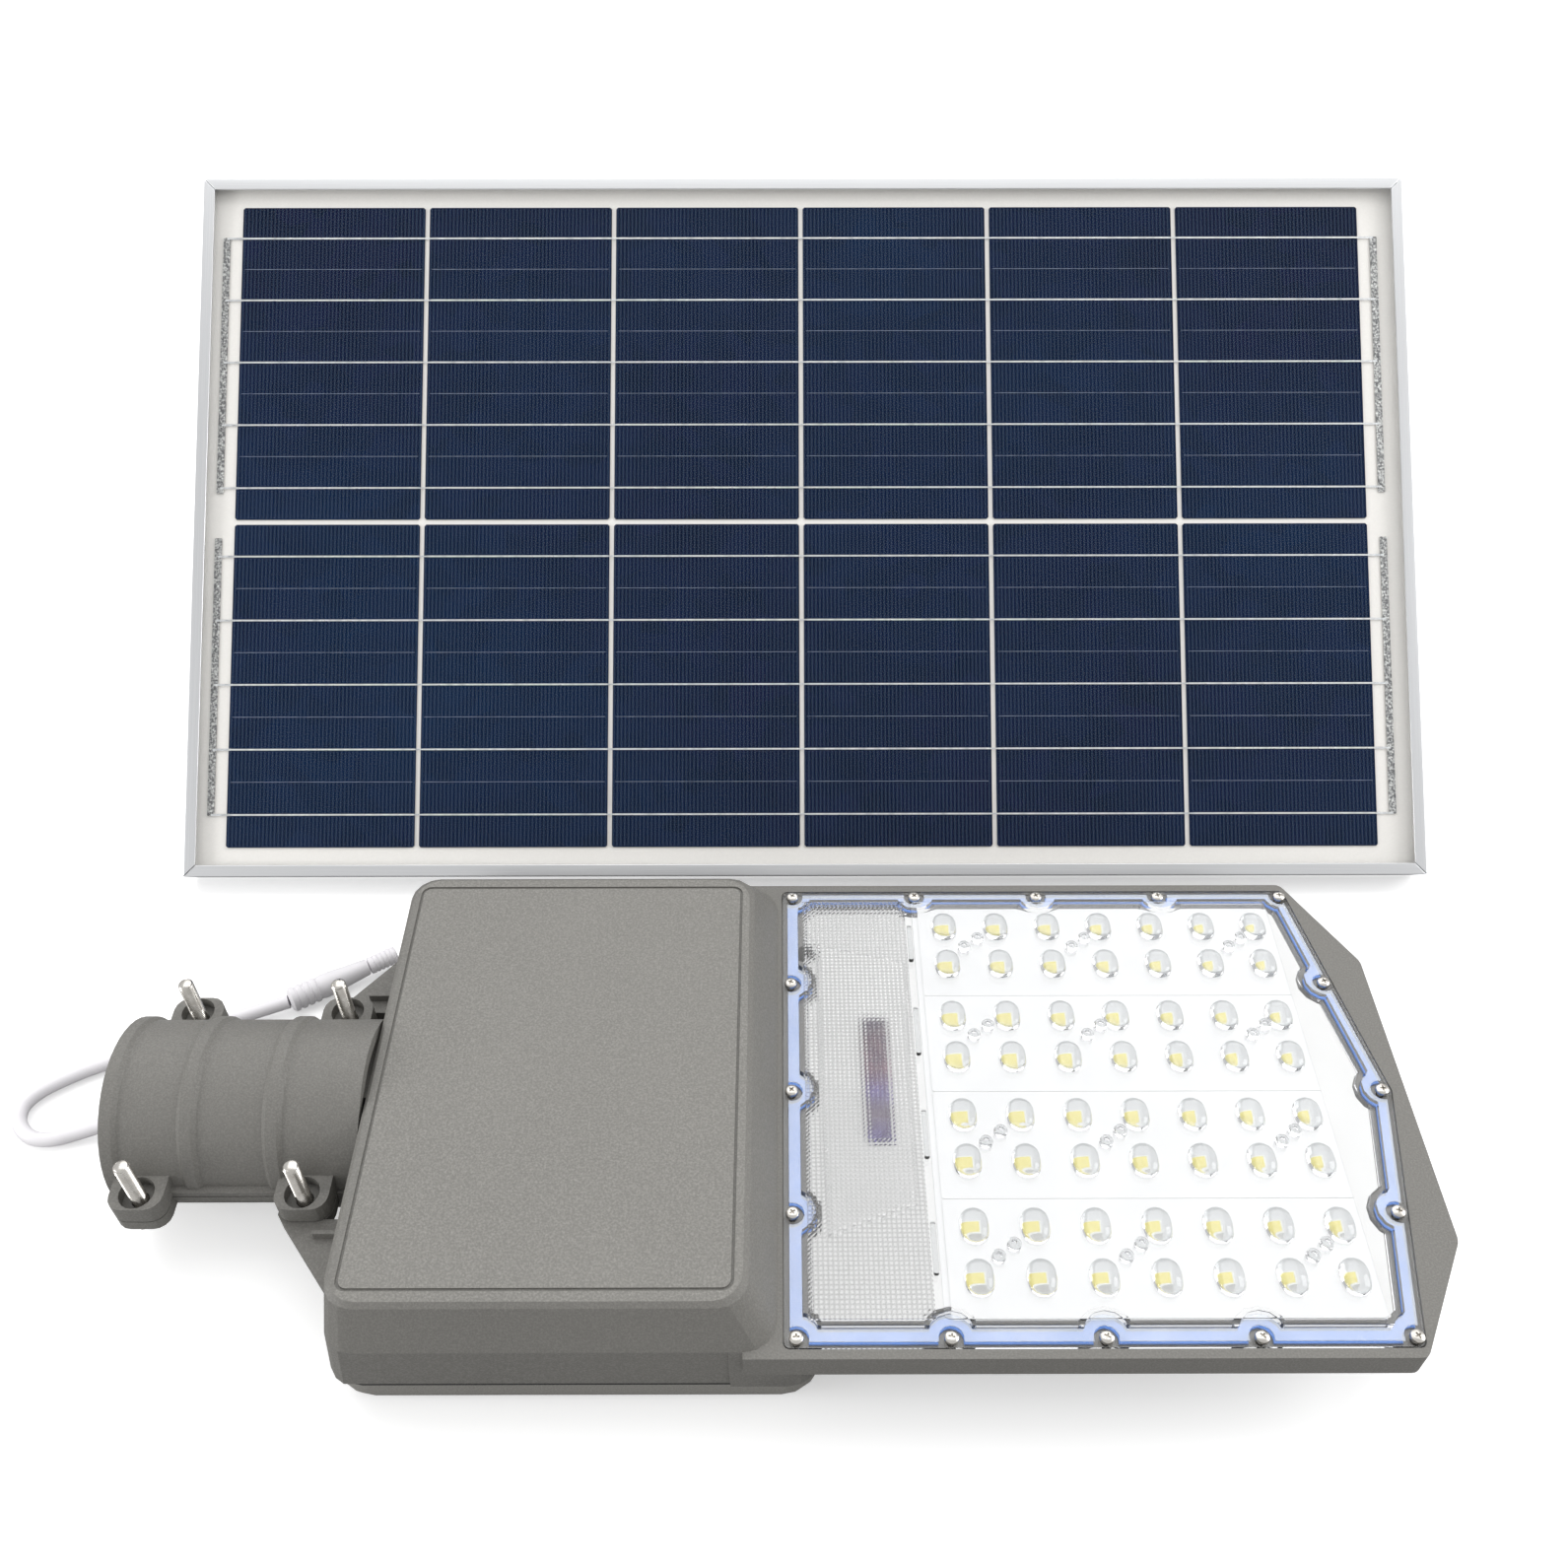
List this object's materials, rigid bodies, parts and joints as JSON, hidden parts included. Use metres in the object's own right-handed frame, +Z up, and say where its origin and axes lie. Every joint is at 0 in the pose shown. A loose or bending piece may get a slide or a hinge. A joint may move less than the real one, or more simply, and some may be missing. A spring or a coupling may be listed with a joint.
{
  "type": "solar street lamp",
  "caption": "Pole-top LED lamp head with battery box, split pole clamp and lead, plus a framed solar panel leaning on a folding tilt yoke.",
  "frame": {"origin": "centre of the battery cover's flat rest face, which the lamp head lies on with its light side up", "axes": "+X from the battery box to the tip of the LED tray, +Y from the lamp head to the solar panel behind it, +Z up"},
  "size_m": [0.6358, 0.5269, 0.2377],
  "materials": {
    "cast_grey": "textured",
    "zinc_steel": "satin",
    "anodised_frame": "satin",
    "white_plastic": "matte",
    "black_rubber": "matte",
    "white_board": "satin",
    "battery_wrap": "gloss",
    "green_board": "satin",
    "dark_board": "satin",
    "blue_silicone": "satin",
    "clear_cover": "gloss",
    "panel_glass": "gloss",
    "silicon_cells": "gloss",
    "tinned_copper": "satin",
    "backsheet": "matte",
    "black_plastic": "matte"
  },
  "bodies": {
    "lamp_head": {"housing": "cast_grey", "battery_cover": "cast_grey", "battery_cover_screw_1": "zinc_steel", "battery_cover_screw_2": "zinc_steel", "battery_cover_screw_3": "zinc_steel", "battery_cover_screw_4": "zinc_steel", "lens_screw_01": "zinc_steel", "lens_screw_02": "zinc_steel", "lens_screw_03": "zinc_steel", "lens_screw_04": "zinc_steel", "lens_screw_05": "zinc_steel", "lens_screw_06": "zinc_steel", "lens_screw_07": "zinc_steel", "lens_screw_08": "zinc_steel", "lens_screw_09": "zinc_steel", "lens_screw_10": "zinc_steel", "lens_screw_11": "zinc_steel", "lens_screw_12": "zinc_steel", "lens_screw_13": "zinc_steel", "lens_screw_14": "zinc_steel", "lens_screw_15": "zinc_steel", "lens_screw_16": "zinc_steel", "battery_cover_gasket": "black_rubber", "cable_gland": "black_rubber", "battery_pack": "battery_wrap", "battery_bracket": "zinc_steel", "controller_board": "green_board", "led_board": "white_board", "sensor_board": "dark_board", "lens_gasket": "blue_silicone", "lens_cover": "clear_cover", "lamp_lead": "white_plastic", "plug_grip": "white_plastic"},
    "clamp_cap": {"clamp_cap": "cast_grey"},
    "clamp_bolt_1": {"clamp_bolt_1": "zinc_steel"},
    "clamp_bolt_2": {"clamp_bolt_2": "zinc_steel"},
    "clamp_bolt_3": {"clamp_bolt_3": "zinc_steel"},
    "clamp_bolt_4": {"clamp_bolt_4": "zinc_steel"},
    "plug_sleeve": {"plug_sleeve": "white_plastic"},
    "panel_unit": {"frame_rail_bottom": "anodised_frame", "frame_rail_top": "anodised_frame", "frame_rail_left": "anodised_frame", "frame_rail_right": "anodised_frame", "panel_glass": "panel_glass", "cell_string_upper": "silicon_cells", "cell_string_lower": "silicon_cells", "bus_ribbon_left": "tinned_copper", "bus_ribbon_right": "tinned_copper", "backsheet": "backsheet", "junction_box": "black_plastic", "junction_box_lid": "black_plastic", "junction_gland": "black_plastic", "ear_bracket_left": "zinc_steel", "ear_bracket_right": "zinc_steel", "pivot_bolt_left": "zinc_steel", "pivot_bolt_right": "zinc_steel"},
    "tilt_yoke": {"tilt_yoke": "zinc_steel"},
    "pivot_knob_left": {"pivot_knob_left": "black_plastic"},
    "pivot_knob_right": {"pivot_knob_right": "black_plastic"}
  },
  "joints": [
    {"name": "clamp_cap_lift", "type": "slide", "parent": "lamp_head", "child": "clamp_cap", "axis": [0, 0, 1], "range_m": [0, 0.012]},
    {"name": "clamp_bolt_1_turn", "type": "hinge", "parent": "lamp_head", "child": "clamp_bolt_1", "pos_m": [-0.1668, 0.0415, 0.0314], "axis": [0, 0, 1], "continuous": true},
    {"name": "clamp_bolt_2_turn", "type": "hinge", "parent": "lamp_head", "child": "clamp_bolt_2", "pos_m": [-0.1668, -0.0415, 0.0314], "axis": [0, 0, 1], "continuous": true},
    {"name": "clamp_bolt_3_turn", "type": "hinge", "parent": "lamp_head", "child": "clamp_bolt_3", "pos_m": [-0.105, 0.0415, 0.0314], "axis": [0, 0, 1], "continuous": true},
    {"name": "clamp_bolt_4_turn", "type": "hinge", "parent": "lamp_head", "child": "clamp_bolt_4", "pos_m": [-0.105, -0.0415, 0.0314], "axis": [0, 0, 1], "continuous": true},
    {"name": "plug_sleeve_turn", "type": "hinge", "parent": "lamp_head", "child": "plug_sleeve", "pos_m": [-0.11506, 0.09601, 0.0062], "axis": [0.8496, 0.5274, 0], "continuous": true},
    {"name": "panel_lift", "type": "slide", "parent": "lamp_head", "child": "panel_unit", "axis": [0, 0, 1], "range_m": [0, 0.15]},
    {"name": "yoke_tilt", "type": "hinge", "parent": "panel_unit", "child": "tilt_yoke", "pos_m": [0.086, 0.34397, 0.13433], "axis": [1, 0, 0], "range_deg": [-49, 120]},
    {"name": "pivot_knob_left_turn", "type": "hinge", "parent": "panel_unit", "child": "pivot_knob_left", "pos_m": [-0.1906, 0.34397, 0.13433], "axis": [-1, 0, 0], "continuous": true},
    {"name": "pivot_knob_right_turn", "type": "hinge", "parent": "panel_unit", "child": "pivot_knob_right", "pos_m": [0.3626, 0.34397, 0.13433], "axis": [1, 0, 0], "continuous": true}
  ]
}
